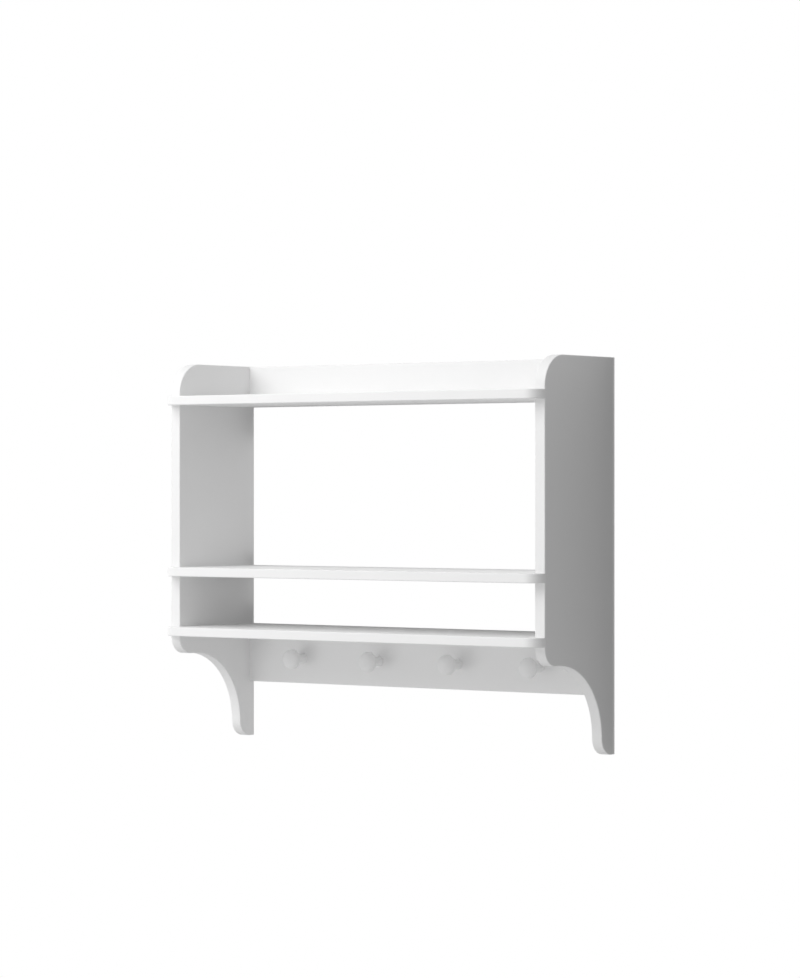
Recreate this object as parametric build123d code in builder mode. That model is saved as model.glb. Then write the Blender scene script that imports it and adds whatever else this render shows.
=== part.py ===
import os
from build123d import *

os.makedirs("parts", exist_ok=True)

# Painted wall unit: two side panels, three shelves with a rounded nose that laps the panels'
# front edges, a rail above the top shelf and a rail with turned pegs below the bottom shelf.
# Millimetres. X runs along the shelves, the wall is the plane Y = 0 with the room towards -Y,
# and Z is up. The origin is the middle of the top rail's back face.

# Boards
unit_width = 750.0
panel_depth = 195.0
panel_thickness = 19.0
shelf_thickness = 15.0
rail_thickness = 13.0
rail_housing = 3.0
edge_round = 1.5

# Shelf noses
nose_projection = 23.0

# Heights, from the feet up
leg_height = 92.0
peg_rail_height = 83.0
low_bay_height = 83.5
high_bay_height = 267.5
top_rail_height = 53.0
panel_rise = 1.0

# Outline of the side panels
top_corner_radius = 50.0
cheek_radius = 28.0
step_drop = 30.0
step_flat = 11.5
leg_width = 37.5
foot_radius = 27.0

# Dowels that hold the boards between the panels
board_dowel_radius = 4.0
rail_dowel_radius = 3.0
dowel_length = 30.0
dowel_in_panel = 12.0
dowel_end_gap = 0.5
glue_gap = 0.1
dowel_chamfer = 0.8
shelf_dowel_inset = 42.0
rail_dowel_inset = 12.0

# Turned pegs
peg_count = 4
peg_inset = 116.0
peg_projection = 42.0
peg_head_radius = 16.5
peg_head_length = 17.0
peg_back_radius = 4.0
peg_dome = 10.0
neck_base_radius = 8.5
neck_waist_radius = 6.5
neck_waist_distance = 15.0

# Screws, all countersunk at 90 degrees with a cross recess
screw_gap = 0.15
head_sink = 0.2
screw_point_length = 4.0
peg_screw_radius = 2.0
peg_screw_head_radius = 4.0
peg_screw_length = 32.0
hanger_screw_radius = 1.5
hanger_screw_head_radius = 2.8
hanger_screw_length = 16.0
cross_width = 0.8
cross_depth = 1.0

# Keyhole hangers let into the back edges of the side panels
hanger_drop = 60.0
hanger_width = 15.0
hanger_length = 52.0
hanger_thickness = 2.0
hanger_recess = 0.2
hanger_fit = 0.2
hanger_screw_spacing = 38.0
keyhole_entry_radius = 5.0
keyhole_slot_width = 5.0
keyhole_lift = 12.0
pocket_width = 13.0
pocket_corner_radius = 3.0
pocket_depth = 11.0

# Levels that follow from the heights
top_rail_top = top_rail_height / 2
top_shelf_top = -top_rail_height / 2
middle_shelf_top = top_shelf_top - shelf_thickness - high_bay_height
bottom_shelf_top = middle_shelf_top - shelf_thickness - low_bay_height
peg_rail_top = bottom_shelf_top - shelf_thickness
peg_rail_bottom = peg_rail_top - peg_rail_height
panel_top = top_rail_top + panel_rise
panel_bottom = peg_rail_bottom - leg_height
step_level = peg_rail_top - step_drop
peg_level = peg_rail_top - peg_rail_height / 2

# Widths and depths that follow from the boards
half_width = unit_width / 2
inner_half = half_width - panel_thickness
inner_width = 2 * inner_half
hollow_width = panel_depth - cheek_radius - step_flat - leg_width
hollow_height = step_level - panel_bottom - foot_radius
dowel_in_board = dowel_length - dowel_in_panel
rail_middle = rail_thickness / 2
peg_spacing = (inner_width - 2 * peg_inset) / (peg_count - 1)

shelf_tops = {
    "top_shelf": top_shelf_top,
    "middle_shelf": middle_shelf_top,
    "bottom_shelf": bottom_shelf_top,
}
rail_levels = {
    "top_rail": (top_rail_top, top_shelf_top - rail_housing),
    "peg_rail": (peg_rail_top, peg_rail_bottom),
}
sides = {"left": -1, "right": 1}

# Dowel centres as (Y, Z) points on the inner faces of the side panels
shelf_dowel_depths = (-shelf_dowel_inset, shelf_dowel_inset - panel_depth)
shelf_dowels = {
    name: [(depth, top - shelf_thickness / 2) for depth in shelf_dowel_depths]
    for name, top in shelf_tops.items()
}
rail_dowels = {
    name: [(-rail_middle, top - rail_dowel_inset), (-rail_middle, bottom + rail_dowel_inset)]
    for name, (top, bottom) in rail_levels.items()
}
all_shelf_dowels = [point for points in shelf_dowels.values() for point in points]
all_rail_dowels = [point for points in rail_dowels.values() for point in points]

# Hanger levels: the screw head enters at the entry and the shank rests at the slot's top
panel_middle = half_width - panel_thickness / 2
hanger_level = top_shelf_top - shelf_thickness - hanger_drop
hanger_screw_levels = (
    hanger_level + hanger_screw_spacing / 2,
    hanger_level - hanger_screw_spacing / 2,
)
hanger_back = -hanger_recess
hanger_front = -hanger_recess - hanger_thickness
pocket_floor = hanger_front - pocket_depth


# Side panels: a round top front corner, a straight front edge down past the bottom shelf, a
# round cheek and a step, then a hollow quarter into a narrow leg with a round foot
for side, way in sides.items():
    with BuildPart() as panel:
        with BuildSketch(Plane.YZ.offset(way * inner_half)):
            with BuildLine():
                Line((0, panel_bottom), (0, panel_top))
                Line((0, panel_top), (top_corner_radius - panel_depth, panel_top))
                CenterArc(
                    (top_corner_radius - panel_depth, panel_top - top_corner_radius),
                    top_corner_radius, 90, 90,
                )
                Line(
                    (-panel_depth, panel_top - top_corner_radius),
                    (-panel_depth, step_level + cheek_radius),
                )
                CenterArc(
                    (cheek_radius - panel_depth, step_level + cheek_radius),
                    cheek_radius, 180, 90,
                )
                Line(
                    (cheek_radius - panel_depth, step_level),
                    (-leg_width - hollow_width, step_level),
                )
                EllipticalCenterArc(
                    (-leg_width - hollow_width, step_level - hollow_height),
                    hollow_width, hollow_height, start_angle=0, arc_size=90,
                )
                CenterArc(
                    (foot_radius - leg_width, panel_bottom + foot_radius),
                    foot_radius, 180, 90,
                )
                Line((foot_radius - leg_width, panel_bottom), (0, panel_bottom))
            make_face()
        extrude(amount=way * panel_thickness)
        fillet(panel.edges().filter_by(Axis.X, reverse=True), radius=edge_round)

        # Blind dowel holes in the inner face
        with BuildSketch(Plane.YZ.offset(way * inner_half)):
            with Locations(*all_shelf_dowels):
                Circle(board_dowel_radius + glue_gap)
            with Locations(*all_rail_dowels):
                Circle(rail_dowel_radius + glue_gap)
        extrude(amount=way * (dowel_in_panel + dowel_end_gap), mode=Mode.SUBTRACT)

        # Recess for the hanger plate, and behind it the pocket that clears the screw's head
        hanger_plane = Plane(
            origin=(way * panel_middle, 0, hanger_level), x_dir=(0, 0, 1), z_dir=(0, 1, 0)
        )
        with BuildSketch(hanger_plane):
            SlotOverall(hanger_length + 2 * hanger_fit, hanger_width + 2 * hanger_fit)
        extrude(amount=hanger_front, mode=Mode.SUBTRACT)
        with BuildSketch(hanger_plane):
            RectangleRounded(keyhole_lift + pocket_width, pocket_width, pocket_corner_radius)
        extrude(amount=pocket_floor, mode=Mode.SUBTRACT)

        # Pilot holes for the hanger screws
        with BuildSketch(hanger_plane):
            with GridLocations(hanger_screw_spacing, 0, 2, 1):
                Circle(hanger_screw_radius + screw_gap)
        extrude(
            amount=hanger_back - head_sink - hanger_screw_length - dowel_end_gap,
            mode=Mode.SUBTRACT,
        )
    panel.part.label = f"side_panel_{side}"
    export_step(panel.part, f"parts/side_panel_{side}.step")


# Shelves: one board each, notched at the back corners so that the nose laps the front edges of
# the panels and ends flush with their outer faces in a round corner
for name, top in shelf_tops.items():
    with BuildPart() as shelf:
        with BuildSketch(Plane.XY.offset(top - shelf_thickness)):
            with BuildLine():
                Polyline(
                    (half_width, -panel_depth),
                    (inner_half, -panel_depth),
                    (inner_half, 0),
                    (-inner_half, 0),
                    (-inner_half, -panel_depth),
                    (-half_width, -panel_depth),
                )
                CenterArc(
                    (nose_projection - half_width, -panel_depth), nose_projection, 180, 90
                )
                Line(
                    (nose_projection - half_width, -panel_depth - nose_projection),
                    (half_width - nose_projection, -panel_depth - nose_projection),
                )
                CenterArc(
                    (half_width - nose_projection, -panel_depth), nose_projection, 270, 90
                )
            make_face()
        extrude(amount=shelf_thickness)

        # The nose's upper and lower edges are eased all the way round
        nose_edges = shelf.edges().filter_by(Axis.Z, reverse=True)
        nose_edges = nose_edges.filter_by(lambda edge: edge.center().Y < -panel_depth - edge_round)
        fillet(nose_edges, radius=edge_round)

        # The top rail's foot stands in a shallow housing along the top shelf's back edge
        if name == "top_shelf":
            with BuildSketch(Plane.XY.offset(top)):
                with Locations((0, -rail_middle)):
                    Rectangle(inner_width, rail_thickness)
            extrude(amount=-rail_housing, mode=Mode.SUBTRACT)

        # Dowel holes in both ends
        for way in sides.values():
            with BuildSketch(Plane.YZ.offset(way * inner_half)):
                with Locations(*shelf_dowels[name]):
                    Circle(board_dowel_radius + glue_gap)
            extrude(amount=-way * (dowel_in_board + dowel_end_gap), mode=Mode.SUBTRACT)
    shelf.part.label = name
    export_step(shelf.part, f"parts/{name}.step")


# Rails: plain boards between the panels, flush with their back edges. The free long edges are
# eased, and the edge that meets a shelf is left square
peg_places = [(index - (peg_count - 1) / 2) * peg_spacing for index in range(peg_count)]

for name, (top, bottom) in rail_levels.items():
    with BuildPart() as rail:
        with BuildSketch(Plane.XZ):
            with Locations((0, (top + bottom) / 2)):
                Rectangle(inner_width, top - bottom)
        extrude(amount=rail_thickness)
        long_edges = rail.edges().filter_by(Axis.X).group_by(Axis.Z)
        fillet(long_edges[-1] if name == "top_rail" else long_edges[0], radius=edge_round)

        for way in sides.values():
            with BuildSketch(Plane.YZ.offset(way * inner_half)):
                with Locations(*rail_dowels[name]):
                    Circle(rail_dowel_radius + glue_gap)
            extrude(amount=-way * (dowel_in_board + dowel_end_gap), mode=Mode.SUBTRACT)

        # The peg rail is bored and countersunk from the back for one screw behind each peg
        if name == "peg_rail":
            for place in peg_places:
                with Locations(Plane(origin=(place, 0, peg_level), z_dir=(0, 1, 0))):
                    CounterSinkHole(
                        peg_screw_radius + screw_gap,
                        peg_screw_head_radius + screw_gap + head_sink,
                        depth=rail_thickness,
                    )
    rail.part.label = name
    export_step(rail.part, f"parts/{name}.step")


# Pegs: a waisted neck and a thick domed head, turned in one piece. Each is drilled from its
# foot for the screw. The outline is drawn as distance from the rail against radius
head_back = peg_projection - peg_head_length
dome_start = peg_projection - peg_dome
pilot_depth = peg_screw_length + head_sink - rail_thickness + dowel_end_gap

for index, place in enumerate(peg_places):
    with BuildPart() as peg:
        peg_plane = Plane(
            origin=(place, -rail_thickness, peg_level), x_dir=(0, -1, 0), z_dir=(-1, 0, 0)
        )
        with BuildSketch(peg_plane):
            with BuildLine():
                Polyline((peg_projection, 0), (0, 0), (0, neck_base_radius))
                Spline(
                    (0, neck_base_radius),
                    (neck_waist_distance, neck_waist_radius),
                    (head_back, peg_head_radius - peg_back_radius),
                    tangents=[(1, 0), (0, 1)],
                )
                SagittaArc(
                    (head_back, peg_head_radius - peg_back_radius),
                    (head_back + peg_back_radius, peg_head_radius),
                    -peg_back_radius * (1 - 2 ** -0.5),
                )
                Line(
                    (head_back + peg_back_radius, peg_head_radius),
                    (dome_start, peg_head_radius),
                )
                EllipticalCenterArc(
                    (dome_start, 0), peg_dome, peg_head_radius, start_angle=0, arc_size=90
                )
            make_face()
        revolve(axis=Axis((place, -rail_thickness, peg_level), (0, -1, 0)))
        with BuildSketch(Plane(peg_plane.origin, x_dir=(1, 0, 0), z_dir=(0, -1, 0))):
            Circle(peg_screw_radius + screw_gap)
        extrude(amount=pilot_depth, mode=Mode.SUBTRACT)
    peg.part.label = f"peg_{index + 1}"
    export_step(peg.part, f"parts/peg_{index + 1}.step")


# Dowels: two in each end of a shelf and of a rail, half sunk in the panel
def dowel_group(name, points, radius):
    """One node with the dowels at both ends of a board, at (Y, Z) points on the panel faces."""
    with BuildPart() as dowels:
        for way in sides.values():
            with BuildSketch(Plane.YZ.offset(way * (inner_half + dowel_in_panel))):
                with Locations(*points):
                    Circle(radius)
            extrude(amount=-way * dowel_length)
        chamfer(dowels.edges(), length=dowel_chamfer)
    dowels.part.label = name
    export_step(dowels.part, f"parts/{name}.step")


for name, points in shelf_dowels.items():
    dowel_group(f"{name}_dowels", points, board_dowel_radius)

for name, points in rail_dowels.items():
    dowel_group(f"{name}_dowels", points, rail_dowel_radius)


# Screws: a countersunk head, a plain shank and a point, drawn as depth below the head's flat
# against radius, and turned about the screw's axis
def screw_group(name, centres, shank_radius, head_radius, length):
    """One node with like screws driven towards -Y, each with its head's flat at its centre."""
    with BuildPart() as screws:
        for centre in centres:
            with BuildSketch(Plane(origin=centre, x_dir=(0, -1, 0), z_dir=(-1, 0, 0))):
                with BuildLine():
                    Polyline(
                        (0, 0),
                        (0, head_radius),
                        (head_radius - shank_radius, shank_radius),
                        (length - screw_point_length, shank_radius),
                        (length, 0),
                        (0, 0),
                    )
                make_face()
            revolve(axis=Axis(centre, (0, -1, 0)))
            with BuildSketch(Plane(origin=centre, x_dir=(1, 0, 0), z_dir=(0, -1, 0))):
                Rectangle(head_radius, cross_width)
                Rectangle(cross_width, head_radius)
            extrude(amount=cross_depth, mode=Mode.SUBTRACT)
    screws.part.label = name
    export_step(screws.part, f"parts/{name}.step")


screw_group(
    "peg_screws",
    [(place, -head_sink, peg_level) for place in peg_places],
    peg_screw_radius, peg_screw_head_radius, peg_screw_length,
)


# Hanger plates: round-ended steel plates with a keyhole, flush with the panels' back edges, and
# two countersunk screws each
for side, way in sides.items():
    with BuildPart() as hanger:
        hanger_plane = Plane(
            origin=(way * panel_middle, hanger_front, hanger_level),
            x_dir=(0, 0, 1), z_dir=(0, 1, 0),
        )
        with BuildSketch(hanger_plane):
            SlotOverall(hanger_length, hanger_width)
            with Locations((-keyhole_lift / 2, 0)):
                Circle(keyhole_entry_radius, mode=Mode.SUBTRACT)
            SlotCenterToCenter(keyhole_lift, keyhole_slot_width, mode=Mode.SUBTRACT)
        extrude(amount=hanger_thickness)
        for level in hanger_screw_levels:
            seat = Plane(origin=(way * panel_middle, hanger_back, level), z_dir=(0, 1, 0))
            with Locations(seat):
                CounterSinkHole(
                    hanger_screw_radius + screw_gap,
                    hanger_screw_head_radius + screw_gap,
                    depth=hanger_thickness,
                )
    hanger.part.label = f"hanger_plate_{side}"
    export_step(hanger.part, f"parts/hanger_plate_{side}.step")

screw_group(
    "hanger_screws",
    [
        (way * panel_middle, hanger_back, level)
        for way in sides.values()
        for level in hanger_screw_levels
    ],
    hanger_screw_radius, hanger_screw_head_radius, hanger_screw_length,
)
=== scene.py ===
from math import cos, pi, radians, sin

import bpy
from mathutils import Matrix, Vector
import numpy as np


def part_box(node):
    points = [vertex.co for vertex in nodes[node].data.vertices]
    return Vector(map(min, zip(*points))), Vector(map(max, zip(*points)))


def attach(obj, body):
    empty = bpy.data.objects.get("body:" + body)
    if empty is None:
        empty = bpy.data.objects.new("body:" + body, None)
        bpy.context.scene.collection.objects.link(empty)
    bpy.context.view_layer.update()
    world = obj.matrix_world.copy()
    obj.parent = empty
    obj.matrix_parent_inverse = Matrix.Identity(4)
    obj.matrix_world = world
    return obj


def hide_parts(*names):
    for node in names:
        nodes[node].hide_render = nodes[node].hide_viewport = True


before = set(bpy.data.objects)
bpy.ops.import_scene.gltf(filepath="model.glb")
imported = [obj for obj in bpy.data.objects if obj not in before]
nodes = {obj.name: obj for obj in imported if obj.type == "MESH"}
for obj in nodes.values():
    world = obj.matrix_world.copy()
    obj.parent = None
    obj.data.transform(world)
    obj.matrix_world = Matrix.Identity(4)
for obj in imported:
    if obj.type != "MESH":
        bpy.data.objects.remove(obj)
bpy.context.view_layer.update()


# Side panels: two upright boards of fibreboard, sawn to their outline and eased along every
# edge, then sealed, sanded and rolled with white satin lacquer. The cut edges drink more of the
# paint than the pressed faces, so they stay a little duller and show some of the fibre.

def add_node(tree, kind, **values):
    """A new node, with sockets set by name. An underscore in a name stands for a space."""
    node = tree.nodes.new(kind)
    for name, value in values.items():
        node.inputs[name.replace("_", " ")].default_value = value
    return node


def add_math(tree, operation, *values):
    """A new Math or Vector Math node that links to or holds each of the given values in turn."""
    vector = operation in ("SUBTRACT_VECTOR", "MULTIPLY_VECTOR", "DOT_PRODUCT")
    node = tree.nodes.new("ShaderNodeVectorMath" if vector else "ShaderNodeMath")
    node.operation = operation.replace("_VECTOR", "")
    for socket, value in zip(node.inputs, values):
        if isinstance(value, bpy.types.NodeSocket):
            tree.links.new(value, socket)
        else:
            socket.default_value = value
    return node.outputs["Value" if operation == "DOT_PRODUCT" else 0]


def new_group(name, sockets_in, sockets_out):
    """A shader node group with its named sockets. Returns the group, its inputs and outputs."""
    group = bpy.data.node_groups.new(name, "ShaderNodeTree")
    for socket_name, kind in sockets_in.items():
        group.interface.new_socket(socket_name, in_out="INPUT", socket_type=f"NodeSocket{kind}")
    for socket_name, kind in sockets_out.items():
        group.interface.new_socket(socket_name, in_out="OUTPUT", socket_type=f"NodeSocket{kind}")
    entry = group.nodes.new("NodeGroupInput")
    leave = group.nodes.new("NodeGroupOutput")
    return group, entry.outputs, leave.inputs


def paint_film_group():
    """The tone, sheen and relief of a rolled coat of paint on a board, as a node group.

    Peel is a fine even noise, the orange peel that a roller leaves. Streaks are a noise drawn out
    along the board, the soft ridges of the last pass. Clouds are a broad noise, which moves the
    tone and the sheen from place to place. Cut is 1 where a point lies deeper in the board than
    its two faces, which is so on the cut edges alone, and there the fibre lifts the paint.
    """
    cut_begins = 0.0002
    cut_is_full = 0.0014
    cut_thinness = 0.25
    streak_share = 0.65
    fibre_share = 0.5
    group, given, result = new_group(
        "paint_film",
        {
            "Place": "Vector", "Draw": "Vector", "Middle": "Vector", "Across": "Vector",
            "Half Thickness": "Float", "Paint": "Color", "Thin Paint": "Color",
            "Sheen Low": "Float", "Sheen High": "Float", "Cut Dullness": "Float",
        },
        {"Colour": "Color", "Roughness": "Float", "Relief": "Float"},
    )
    link = group.links.new

    peel = add_node(group, "ShaderNodeTexNoise", Scale=520.0, Detail=2.0, Roughness=0.45)
    link(given["Place"], peel.inputs["Vector"])
    streaks = add_node(group, "ShaderNodeTexNoise", Scale=1.0, Detail=3.0, Roughness=0.55)
    link(add_math(group, "MULTIPLY_VECTOR", given["Place"], given["Draw"]),
         streaks.inputs["Vector"])
    clouds = add_node(group, "ShaderNodeTexNoise", Scale=11.0, Detail=3.0, Roughness=0.5)
    link(given["Place"], clouds.inputs["Vector"])
    fibre = add_node(group, "ShaderNodeTexNoise", Scale=1900.0, Detail=2.0, Roughness=0.7)
    link(given["Place"], fibre.inputs["Vector"])

    offset = add_math(group, "SUBTRACT_VECTOR", given["Place"], given["Middle"])
    distance = add_math(
        group, "ABSOLUTE", add_math(group, "DOT_PRODUCT", offset, given["Across"])
    )
    depth = add_math(group, "SUBTRACT", given["Half Thickness"], distance)
    cut = add_node(group, "ShaderNodeMapRange", From_Min=cut_begins, From_Max=cut_is_full)
    link(depth, cut.inputs["Value"])
    cut = cut.outputs["Result"]

    thinness = add_math(group, "MULTIPLY_ADD", cut, cut_thinness, clouds.outputs["Fac"])
    tone = group.nodes.new("ShaderNodeMix")
    tone.data_type = "RGBA"
    link(thinness, tone.inputs["Factor"])
    link(given["Paint"], tone.inputs["A"])
    link(given["Thin Paint"], tone.inputs["B"])
    link(tone.outputs["Result"], result["Colour"])

    sheen = group.nodes.new("ShaderNodeMapRange")
    link(clouds.outputs["Fac"], sheen.inputs["Value"])
    link(given["Sheen Low"], sheen.inputs["To Min"])
    link(given["Sheen High"], sheen.inputs["To Max"])
    link(add_math(group, "MULTIPLY_ADD", cut, given["Cut Dullness"], sheen.outputs["Result"]),
         result["Roughness"])

    film = add_math(
        group, "MULTIPLY_ADD", streaks.outputs["Fac"], streak_share, peel.outputs["Fac"]
    )
    lifted = add_math(group, "MULTIPLY", cut, fibre.outputs["Fac"])
    link(add_math(group, "MULTIPLY_ADD", lifted, fibre_share, film), result["Relief"])
    return group


paint_film = paint_film_group()


def coated(name, coat, relief_height, values):
    """A material whose colour, roughness and relief come from a coat, which is a node group.

    Relief_height is the height in metres of a relief of 1, and values go to the group's sockets.
    """
    material = bpy.data.materials.new(name)
    material.use_nodes = True
    tree = material.node_tree
    surface = tree.nodes["Principled BSDF"]
    place = tree.nodes.new("ShaderNodeTexCoord")
    film = tree.nodes.new("ShaderNodeGroup")
    film.name = "film"
    film.node_tree = coat
    for socket, value in values.items():
        film.inputs[socket].default_value = value
    bump = add_node(tree, "ShaderNodeBump", Distance=relief_height)
    bump.name = "bump"
    tree.links.new(place.outputs["Object"], film.inputs["Place"])
    tree.links.new(film.outputs["Colour"], surface.inputs["Base Color"])
    tree.links.new(film.outputs["Roughness"], surface.inputs["Roughness"])
    tree.links.new(film.outputs["Relief"], bump.inputs["Height"])
    tree.links.new(bump.outputs["Normal"], surface.inputs["Normal"])
    return material


def lacquer(name, draw, middle, across, half_thickness):
    """White satin lacquer on a board, whose streaks run where draw has its smallest number."""
    film_relief = 0.00003
    material = coated(name, paint_film, film_relief, {
        "Draw": draw,
        "Middle": middle,
        "Across": across,
        "Half Thickness": half_thickness,
        "Paint": (0.9, 0.9, 0.9, 1.0),
        "Thin Paint": (0.875, 0.875, 0.875, 1.0),
        "Sheen Low": 0.42,
        "Sheen High": 0.58,
        "Cut Dullness": 0.08,
    })
    material.node_tree.nodes["Principled BSDF"].inputs["IOR"].default_value = 1.5
    return material


def dress(node, material):
    """Gives a CAD node one material."""
    mesh = nodes[node].data
    mesh.materials.clear()
    mesh.materials.append(material)


def lacquer_board(node, across, draw):
    """Paints a board. Across is the axis through its thickness, as a vector of one 1."""
    low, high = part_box(node)
    thickness = Vector(across).dot(high - low)
    dress(node, lacquer(f"{node}_lacquer", draw, (low + high) / 2, across, thickness / 2))


rolled_upwards = (700.0, 700.0, 60.0)
for side in ("left", "right"):
    lacquer_board(f"side_panel_{side}", (1, 0, 0), rolled_upwards)


# Dowels: straight fluted beech pins with chamfered ends, 8 mm in the shelves and 6 mm in the
# rails, glued into the ends of each board and into the panels. The flutes let spare glue out.
# They are hidden once the unit is together.

def skin(name, rings):
    """Closed skins over stacks of rings, given as an array (copies, rings, points round, 3).

    A quad joins two neighbouring points of a ring to the same points of the next ring, the last
    point of a ring joins its first, and a fan of triangles from the middle of the first and of
    the last ring closes each end. Points run anticlockwise about the way the rings are stacked.
    An edge that turns by more than crease_angle stays sharp.
    """
    crease_angle = radians(40)
    copies, count, around = rings.shape[:3]
    poles = np.stack([rings[:, 0].mean(axis=1), rings[:, -1].mean(axis=1)], axis=1)
    points = np.concatenate([rings.reshape(copies, -1, 3), poles], axis=1)

    ring, here = np.meshgrid(np.arange(count - 1), np.arange(around), indexing="ij")
    after = (here + 1) % around
    quads = np.stack(
        [ring * around + here, ring * around + after,
         (ring + 1) * around + after, (ring + 1) * around + here], axis=-1
    ).reshape(-1, 4)
    here, after = here[0], after[0]
    last = (count - 1) * around
    first_pole = np.full(around, count * around)
    first_fan = np.stack([first_pole, after, here], axis=-1)
    last_fan = np.stack([first_pole + 1, last + here, last + after], axis=-1)

    shift = np.arange(copies)[:, None, None] * points.shape[1]
    faces = (quads + shift).reshape(-1, 4).tolist()
    faces += (np.concatenate([first_fan, last_fan]) + shift).reshape(-1, 3).tolist()
    mesh = bpy.data.meshes.new(name)
    mesh.from_pydata(points.reshape(-1, 3), [], faces)
    mesh.polygons.foreach_set("use_smooth", np.ones(len(mesh.polygons), bool))
    mesh.set_sharp_from_angle(angle=crease_angle)
    piece = bpy.data.objects.new(name, mesh)
    bpy.context.scene.collection.objects.link(piece)
    return piece


def fluted_pins(node):
    """The dowels of one node: two at each end of a board, placed by the node's own box.

    In a shelf the two lie side by side from front to back, and in a rail one above the other.
    A pin's radius is its full radius less a flute of hollow_depth, deepest where the cosine of
    flute_count times the angle is 1, and less the chamfer within a chamfer of either end.
    """
    pin_length = 0.03
    chamfer = 0.0008
    flute_count = 18
    hollow_depth = 0.00025
    steps_per_flute = 8
    steps_along = 8
    shelf_pin_radius = 0.004
    rail_pin_radius = 0.003
    low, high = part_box(node)
    in_a_shelf = high.y - low.y > high.z - low.z
    radius = shelf_pin_radius if in_a_shelf else rail_pin_radius

    between = np.linspace(chamfer, pin_length - chamfer, steps_along)
    station = np.concatenate([[0.0], between, [pin_length]])
    near_end = np.minimum(station, pin_length - station)
    angle = np.linspace(0.0, 2 * pi, steps_per_flute * flute_count, endpoint=False)
    flute = hollow_depth * (0.5 + 0.5 * np.cos(flute_count * angle)) ** 2
    taper = np.clip(chamfer - near_end, 0.0, None)
    distance = radius - taper[:, None] - flute[None, :] * (near_end > 0)[:, None]

    starts = np.array([low.x, high.x - pin_length])
    if in_a_shelf:
        middle = (low.z + high.z) / 2
        centres = [(low.y + radius, middle), (high.y - radius, middle)]
    else:
        middle = (low.y + high.y) / 2
        centres = [(middle, low.z + radius), (middle, high.z - radius)]
    rings = np.zeros((2, 2, len(station), len(angle), 3))
    rings[..., 0] = starts[:, None, None, None] + station[None, None, :, None]
    for row, (y, z) in enumerate(centres):
        rings[:, row, :, :, 1] = y + distance * np.cos(angle)
        rings[:, row, :, :, 2] = z + distance * np.sin(angle)
    return skin(f"{node}_fluted", rings.reshape(4, len(station), len(angle), 3))


def beech():
    """Bare beech: a pale pinkish brown drawn out along X, with short dark flecks."""
    grain_draw = (45.0, 900.0, 900.0)
    fleck_draw = (420.0, 3200.0, 3200.0)
    dark_wood = (0.36, 0.20, 0.11, 1.0)
    pale_wood = (0.56, 0.36, 0.21, 1.0)
    fleck_brown = (0.22, 0.11, 0.055, 1.0)
    material = bpy.data.materials.new("dowel_beech")
    material.use_nodes = True
    tree = material.node_tree
    link = tree.links.new
    surface = tree.nodes["Principled BSDF"]
    place = tree.nodes.new("ShaderNodeTexCoord").outputs["Object"]
    grain = add_node(tree, "ShaderNodeTexNoise", Scale=1.0, Detail=4.0, Roughness=0.6)
    link(add_math(tree, "MULTIPLY_VECTOR", place, grain_draw), grain.inputs["Vector"])
    flecks = add_node(tree, "ShaderNodeTexNoise", Scale=1.0, Detail=1.0)
    link(add_math(tree, "MULTIPLY_VECTOR", place, fleck_draw), flecks.inputs["Vector"])
    wood = tree.nodes.new("ShaderNodeValToRGB")
    wood.color_ramp.elements[0].position = 0.3
    wood.color_ramp.elements[0].color = dark_wood
    wood.color_ramp.elements[1].position = 0.7
    wood.color_ramp.elements[1].color = pale_wood
    link(grain.outputs["Fac"], wood.inputs["Fac"])
    fleck = add_node(tree, "ShaderNodeMapRange", From_Min=0.6, From_Max=0.68, To_Max=0.6)
    link(flecks.outputs["Fac"], fleck.inputs["Value"])
    tone = tree.nodes.new("ShaderNodeMix")
    tone.data_type = "RGBA"
    tone.inputs["B"].default_value = fleck_brown
    link(fleck.outputs["Result"], tone.inputs["Factor"])
    link(wood.outputs["Color"], tone.inputs["A"])
    link(tone.outputs["Result"], surface.inputs["Base Color"])
    dullness = add_node(tree, "ShaderNodeMapRange", To_Min=0.55, To_Max=0.78)
    link(grain.outputs["Fac"], dullness.inputs["Value"])
    link(dullness.outputs["Result"], surface.inputs["Roughness"])
    bump = add_node(tree, "ShaderNodeBump", Distance=0.00006)
    link(grain.outputs["Fac"], bump.inputs["Height"])
    link(bump.outputs["Normal"], surface.inputs["Normal"])
    return material


bare_beech = beech()
boards_between_panels = ("top_shelf", "middle_shelf", "bottom_shelf", "top_rail", "peg_rail")
for board in boards_between_panels:
    node = f"{board}_dowels"
    pins = fluted_pins(node)
    pins.data.materials.append(bare_beech)
    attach(pins, "root")
    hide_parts(node)


# Shelves: three boards whose eased noses lap the panels' front edges and end in a round corner.
# The paint is rolled on along each shelf, after the nose has been routed and sanded.
rolled_along = (60.0, 700.0, 700.0)
for shelf in ("top_shelf", "middle_shelf", "bottom_shelf"):
    lacquer_board(shelf, (0, 0, 1), rolled_along)


# Rails: the upstand behind the top shelf and the board that carries the pegs, both flush with
# the panels' back edges. They are painted along their length like the shelves.
for rail in ("top_rail", "peg_rail"):
    lacquer_board(rail, (0, 1, 0), rolled_along)


# Pegs: a waisted neck and a thick domed head, turned from beech in one piece and sprayed with
# the same lacquer. The gouge leaves faint rings about the peg's axis under the paint.

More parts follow.
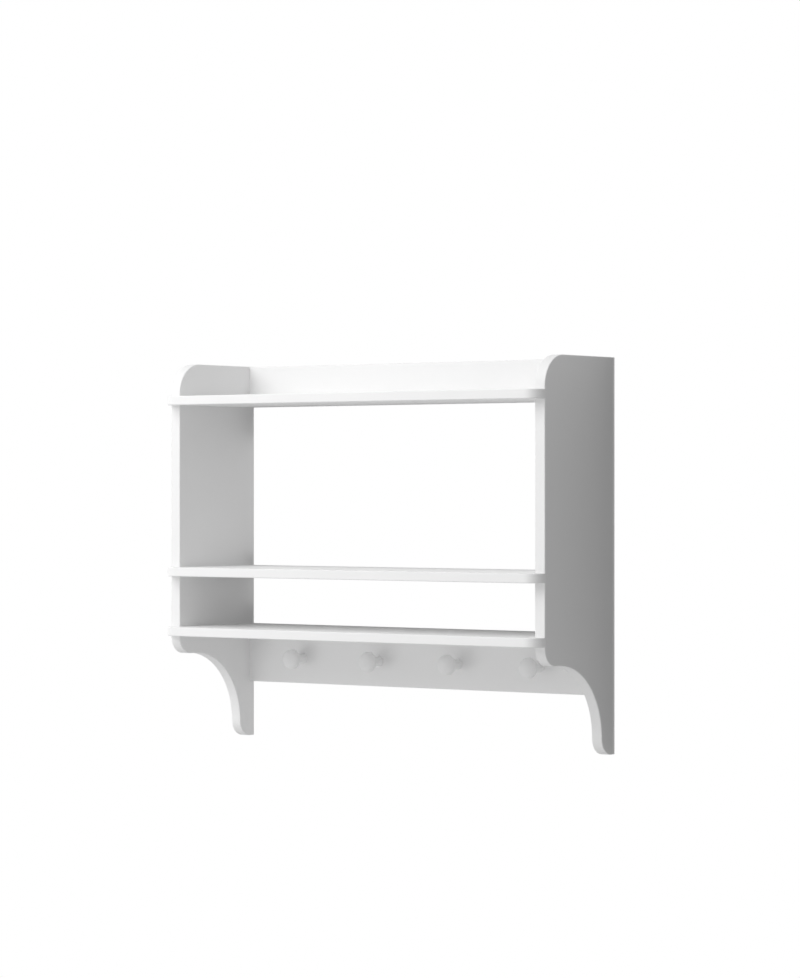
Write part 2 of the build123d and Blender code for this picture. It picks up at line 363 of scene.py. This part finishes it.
def turned_lacquer(peg):
    """The lacquer with rings: a sine of the distance from the peg's axis, added to the relief.

    At a scale of 1 the wave node runs through wave_radians in one unit of distance.
    """
    ring_width = 0.0011
    ring_height = 0.8
    wave_radians = 20
    low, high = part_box(peg)
    middle = (low + high) / 2
    no_face = (0, 0, 0)
    every_way = (160.0, 160.0, 160.0)
    material = lacquer(f"{peg}_lacquer", every_way, middle, no_face, (high.x - low.x) / 2)
    tree = material.node_tree
    scale = 2 * pi / (wave_radians * ring_width)
    rings = add_node(tree, "ShaderNodeTexWave", Scale=scale, Distortion=0.6)
    rings.wave_type = "RINGS"
    rings.rings_direction = "Y"
    place = tree.nodes["Texture Coordinate"].outputs["Object"]
    tree.links.new(add_math(tree, "SUBTRACT_VECTOR", place, middle), rings.inputs["Vector"])
    relief = tree.nodes["film"].outputs["Relief"]
    tree.links.new(add_math(tree, "MULTIPLY_ADD", rings.outputs["Fac"], ring_height, relief),
                   tree.nodes["bump"].inputs["Height"])
    return material


pegs = sorted(name for name in nodes if name[:4] == "peg_" and name[4:].isdigit())
for peg in pegs:
    dress(peg, turned_lacquer(peg))


# Peg screws: zinc plated wood screws, one behind each peg, driven from the back of the rail with
# their heads countersunk. The head has a cross recess, and a plain shank under it lets the
# thread pull the peg tight.

def wood_screws(name, heads, shank_radius, head_radius, length, pitch):
    """Like screws driven towards -Y from the middles of their heads, as stacks of rings.

    On the head's flat the rings widen, and sink by the recess: its depth times the square root of
    1 less the share of an arm's reach, times how far inside an arm's width the point lies. Then
    come the cone and the shank. The thread is a ridge where the distance along the screw in
    pitches less the angle in turns is a whole number and a half. The shank narrows evenly to its
    point.
    """
    around = 64
    flat_rings = 20
    cone_rings = 4
    rings_per_pitch = 7
    first_ring = 0.04
    ridge_steepness = 2.2
    arm_reach = 0.62 * head_radius
    arm_half_width = 0.2 * head_radius
    recess_depth = 0.36 * head_radius
    wall = 0.1 * head_radius
    plain_share = 0.8
    root_share = 0.68
    thread_begins = 0.3 * length
    point_length = 2 * shank_radius

    angle = np.linspace(0.0, 2 * pi, around, endpoint=False)[None, :]
    ring_radius = head_radius * np.linspace(first_ring, 1.0, flat_rings)[:, None]
    off_arm = ring_radius * np.minimum(abs(np.cos(angle)), abs(np.sin(angle)))
    inside = np.clip((arm_half_width + wall / 2 - off_arm) / wall, 0.0, 1.0)
    reach = np.clip(1.0 - ring_radius / arm_reach, 0.0, 1.0) ** 0.5
    recess = recess_depth * inside * reach
    flat_radius = ring_radius + 0 * angle

    cone_height = head_radius - shank_radius
    cone_depth = np.linspace(0.0, cone_height, cone_rings + 1)[1:, None] + 0 * angle
    cone_radius = head_radius - cone_depth * (
        (head_radius - plain_share * shank_radius) / cone_height
    )

    along = np.arange(cone_height, length, pitch / rings_per_pitch)[1:, None] + 0 * angle
    turn = along / pitch - angle / (2 * pi)
    ridge = np.clip(1.0 - ridge_steepness * abs(2 * (turn % 1.0) - 1.0), 0.0, 1.0)
    threaded = np.clip((along - thread_begins) / pitch, 0.0, 1.0)
    share = (1 - threaded) * plain_share + threaded * (root_share + (1 - root_share) * ridge)
    narrowing = np.clip((length - along) / point_length, 0.0, 1.0)
    shank = shank_radius * share * narrowing

    depth = np.concatenate([recess, cone_depth, along])
    radius = np.concatenate([flat_radius, cone_radius, shank])
    one = np.stack([radius * np.cos(angle), -depth, radius * np.sin(angle)], axis=-1)
    return skin(name, np.array(heads)[:, None, None, :] + one[None])


def zinc_film_group():
    """The tone, sheen and relief of zinc plating, as a node group.

    Bloom is a soft noise, where the plating is more or less clouded. Lines are a noise drawn out
    along the metal, the marks of the rolls or of the die.
    """
    group, given, result = new_group(
        "zinc_film",
        {
            "Place": "Vector", "Draw": "Vector", "Bright": "Color", "Clouded": "Color",
            "Sheen Low": "Float", "Sheen High": "Float",
        },
        {"Colour": "Color", "Roughness": "Float", "Relief": "Float"},
    )
    link = group.links.new
    bloom = add_node(group, "ShaderNodeTexNoise", Scale=260.0, Detail=3.0, Roughness=0.6)
    link(given["Place"], bloom.inputs["Vector"])
    lines = add_node(group, "ShaderNodeTexNoise", Scale=1.0, Detail=3.0, Roughness=0.65)
    link(add_math(group, "MULTIPLY_VECTOR", given["Place"], given["Draw"]),
         lines.inputs["Vector"])
    tone = group.nodes.new("ShaderNodeMix")
    tone.data_type = "RGBA"
    link(bloom.outputs["Fac"], tone.inputs["Factor"])
    link(given["Bright"], tone.inputs["A"])
    link(given["Clouded"], tone.inputs["B"])
    link(tone.outputs["Result"], result["Colour"])
    sheen = group.nodes.new("ShaderNodeMapRange")
    link(add_math(group, "MULTIPLY", bloom.outputs["Fac"], lines.outputs["Fac"]),
         sheen.inputs["Value"])
    link(given["Sheen Low"], sheen.inputs["To Min"])
    link(given["Sheen High"], sheen.inputs["To Max"])
    link(sheen.outputs["Result"], result["Roughness"])
    link(lines.outputs["Fac"], result["Relief"])
    return group


zinc_film = zinc_film_group()


def zinc_plate(name, draw, mark_depth):
    """Bright zinc plated steel, with marks drawn out where draw has its smallest number."""
    material = coated(name, zinc_film, mark_depth, {
        "Draw": draw,
        "Bright": (0.66, 0.67, 0.68, 1.0),
        "Clouded": (0.46, 0.46, 0.45, 1.0),
        "Sheen Low": 0.2,
        "Sheen High": 0.6,
    })
    material.node_tree.nodes["Principled BSDF"].inputs["Metallic"].default_value = 1.0
    return material


def fit_screws(node, heads, material, **sizes):
    """Puts threaded screws in the place of a node's plain ones."""
    screws = wood_screws(f"{node}_threaded", heads, **sizes)
    screws.data.materials.append(material)
    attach(screws, "root")
    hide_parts(node)


die_marks = (900.0, 900.0, 900.0)
die_mark_depth = 0.00001
screw_zinc = zinc_plate("screw_zinc", die_marks, die_mark_depth)
rail_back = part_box("peg_screws")[1].y
peg_middles = [sum(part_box(peg), Vector()) / 2 for peg in pegs]
peg_screw_heads = [(middle.x, rail_back, middle.z) for middle in peg_middles]
fit_screws(
    "peg_screws", peg_screw_heads, screw_zinc,
    shank_radius=0.002, head_radius=0.004, length=0.032, pitch=0.0018,
)


# Hanger plates: round-ended keyhole plates, punched from zinc plated strip and let into the back
# edges of the side panels. The rolls leave fine lines along the strip.
strip_marks = (2600.0, 2600.0, 90.0)
strip_mark_depth = 0.00002
plate_zinc = zinc_plate("hanger_zinc", strip_marks, strip_mark_depth)
for side in ("left", "right"):
    dress(f"hanger_plate_{side}", plate_zinc)


# Hanger screws: short zinc plated wood screws with countersunk heads, one near each end of a
# hanger plate, driven into the panel's edge.
hanger_screw_spacing = 0.038
plate_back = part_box("hanger_screws")[1].y
plate_middles = [
    sum(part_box(f"hanger_plate_{side}"), Vector()) / 2 for side in ("left", "right")
]
hanger_screw_heads = [
    (middle.x, plate_back, middle.z + way * hanger_screw_spacing / 2)
    for middle in plate_middles for way in (1, -1)
]
fit_screws(
    "hanger_screws", hanger_screw_heads, screw_zinc,
    shank_radius=0.0015, head_radius=0.0028, length=0.016, pitch=0.0013,
)


# Studio: the unit hangs clear of a pale floor that melts into a white surround. Cards behind it
# keep some light off the back of the bays, and two beside it shade the right-hand panel, most of
# all towards its back edge. Four soft lamps stand in front and to the left.

def stage_sheet(name, corners, material):
    """A flat sheet between four corners, which isn't part of the object."""
    mesh = bpy.data.meshes.new(name)
    mesh.from_pydata(corners, [], [(0, 1, 2, 3)])
    mesh.materials.append(material)
    sheet = bpy.data.objects.new(name, mesh)
    bpy.context.scene.collection.objects.link(sheet)
    return sheet


def shown_rays(tree):
    """1 for the rays that show the surround: from the camera, a reflection or a glass."""
    paths = tree.nodes.new("ShaderNodeLightPath").outputs
    seen = add_math(tree, "MAXIMUM", paths["Is Camera Ray"], paths["Is Glossy Ray"])
    return add_math(tree, "MAXIMUM", seen, paths["Is Transmission Ray"])


def mix_shaders(tree, share, first, second):
    """Mixes two shaders, where share is how much of the second comes through."""
    mix = tree.nodes.new("ShaderNodeMixShader")
    for socket, value in zip(mix.inputs, (share, first, second)):
        tree.links.new(value, socket)
    return mix.outputs["Shader"]


def matt_material(name, reflectance):
    """A grey matt material. Returns it with its node tree and its shader."""
    material = bpy.data.materials.new(name)
    material.use_nodes = True
    tree = material.node_tree
    surface = tree.nodes["Principled BSDF"]
    surface.inputs["Base Color"].default_value = (reflectance, reflectance, reflectance, 1.0)
    surface.inputs["Roughness"].default_value = 0.9
    surface.inputs["Specular IOR Level"].default_value = 0.1
    return material, tree, surface.outputs["BSDF"]


def floor_paint():
    """Pale matt floor whose look, but not its light, turns white away from the unit.

    From below it can't be seen.
    """
    near = 1.0
    far = 3.2
    reflectance = 0.8
    material, tree, matt = matt_material("floor", reflectance)
    white = add_node(tree, "ShaderNodeEmission", Color=(1.0, 1.0, 1.0, 1.0), Strength=1.0)
    place = tree.nodes.new("ShaderNodeTexCoord").outputs["Object"]
    flat = add_math(tree, "MULTIPLY_VECTOR", place, (1.0, 1.0, 0.0))
    away = add_math(tree, "SQRT", add_math(tree, "DOT_PRODUCT", flat, flat))
    fade = add_node(tree, "ShaderNodeMapRange", From_Min=near, From_Max=far)
    fade.interpolation_type = "SMOOTHSTEP"
    tree.links.new(away, fade.inputs["Value"])
    share = add_math(tree, "MULTIPLY", fade.outputs["Result"], shown_rays(tree))
    above = mix_shaders(tree, share, matt, white.outputs["Emission"])
    clear = tree.nodes.new("ShaderNodeBsdfTransparent").outputs["BSDF"]
    below = tree.nodes.new("ShaderNodeNewGeometry").outputs["Backfacing"]
    both = mix_shaders(tree, below, above, clear)
    tree.links.new(both, tree.nodes["Material Output"].inputs["Surface"])
    return material


def card_face(reflectance):
    """Matt card that gives back a share of the light that falls on it.

    Light that has come less than clear_length passes, so a card leaves the back edges close in
    front of it as they are and shades only what lies further inside the unit.
    """
    clear_length = 0.012
    material, tree, matt = matt_material("card", reflectance)
    clear = tree.nodes.new("ShaderNodeBsdfTransparent").outputs["BSDF"]
    length = tree.nodes.new("ShaderNodeLightPath").outputs["Ray Length"]
    stopped = add_math(tree, "GREATER_THAN", length, clear_length)
    face = mix_shaders(tree, stopped, clear, matt)
    tree.links.new(face, tree.nodes["Material Output"].inputs["Surface"])
    return material


def back_card(name, left, right, bottom, top, reflectance):
    """An upright card just behind the wall plane, which shades the unit but can't be seen."""
    gap = 0.004
    corners = [(left, gap, bottom), (right, gap, bottom), (right, gap, top), (left, gap, top)]
    stage_sheet(name, corners, card_face(reflectance)).visible_camera = False


floor_level = -1.65
floor_half = 4.0
stage_sheet(
    "floor",
    [(-floor_half, -floor_half, floor_level), (floor_half, -floor_half, floor_level),
     (floor_half, floor_half, floor_level), (-floor_half, floor_half, floor_level)],
    floor_paint(),
)

unit_side = 0.378
close_card_side = 0.42
far_card_side = 1.4
unit_foot = -0.62
unit_head = 0.06
back_card("card_close_beside", unit_side, close_card_side, unit_foot, unit_head, 0.03)
back_card("card_far_beside", close_card_side, far_card_side, unit_foot, unit_head, 0.1)
for place, bottom, top, reflectance in (
    ("under_top_shelf", -0.09, -0.03, 0.35),
    ("above_bottom_shelf", -0.42, -0.375, 0.5),
    ("behind_middle_shelf", -0.325, -0.29, 0.15),
):
    back_card(f"card_{place}", -unit_side, unit_side, bottom, top, reflectance)


unit_middle = Vector((0.0, -0.1, -0.28))


def lamp(name, turn, rise, distance, power):
    """A square soft lamp, aimed at the unit's middle from a distance.

    Turn is the angle in degrees round the unit from straight in front, towards +X, and rise the
    angle above the level of the unit's middle.
    """
    side = 1.4
    turn, rise = radians(turn), radians(rise)
    outward = Vector((sin(turn) * cos(rise), -cos(turn) * cos(rise), sin(rise)))
    data = bpy.data.lights.new(name, "AREA")
    data.shape = "SQUARE"
    data.size = side
    data.energy = power
    lamp_object = bpy.data.objects.new(name, data)
    lamp_object.location = unit_middle + outward * distance
    lamp_object.rotation_euler = (-outward).to_track_quat("-Z", "Y").to_euler()
    bpy.context.scene.collection.objects.link(lamp_object)


lamp("key_lamp", turn=-20, rise=50, distance=3.2, power=28.7)
lamp("front_lamp", turn=-30, rise=25, distance=3.2, power=25.2)
lamp("low_lamp", turn=-30, rise=-22, distance=2.9, power=8.2)
lamp("side_lamp", turn=-70, rise=0, distance=3.2, power=4.0)

surround_strength = 0.51
world = bpy.data.worlds.new("studio")
world.use_nodes = True
bpy.context.scene.world = world
tree = world.node_tree
surround = tree.nodes["Background"]
surround.inputs["Color"].default_value = (1.0, 1.0, 1.0, 1.0)
surround.inputs["Strength"].default_value = surround_strength
white = add_node(tree, "ShaderNodeBackground", Color=(1.0, 1.0, 1.0, 1.0), Strength=1.0)
light, look = surround.outputs["Background"], white.outputs["Background"]
seen_world = mix_shaders(tree, shown_rays(tree), light, look)
tree.links.new(seen_world, tree.nodes["World Output"].inputs["Surface"])

camera_turn = 0.641
camera_data = bpy.data.cameras.new("camera")
camera_data.sensor_width = 36.0
camera_data.lens = 128.37
camera = bpy.data.objects.new("camera", camera_data)
camera.location = (3.38635, -4.60170, -0.17987)
camera.rotation_euler = (pi / 2, 0.0, camera_turn)
bpy.context.scene.collection.objects.link(camera)
bpy.context.scene.camera = camera
bpy.context.scene.view_settings.view_transform = "Standard"
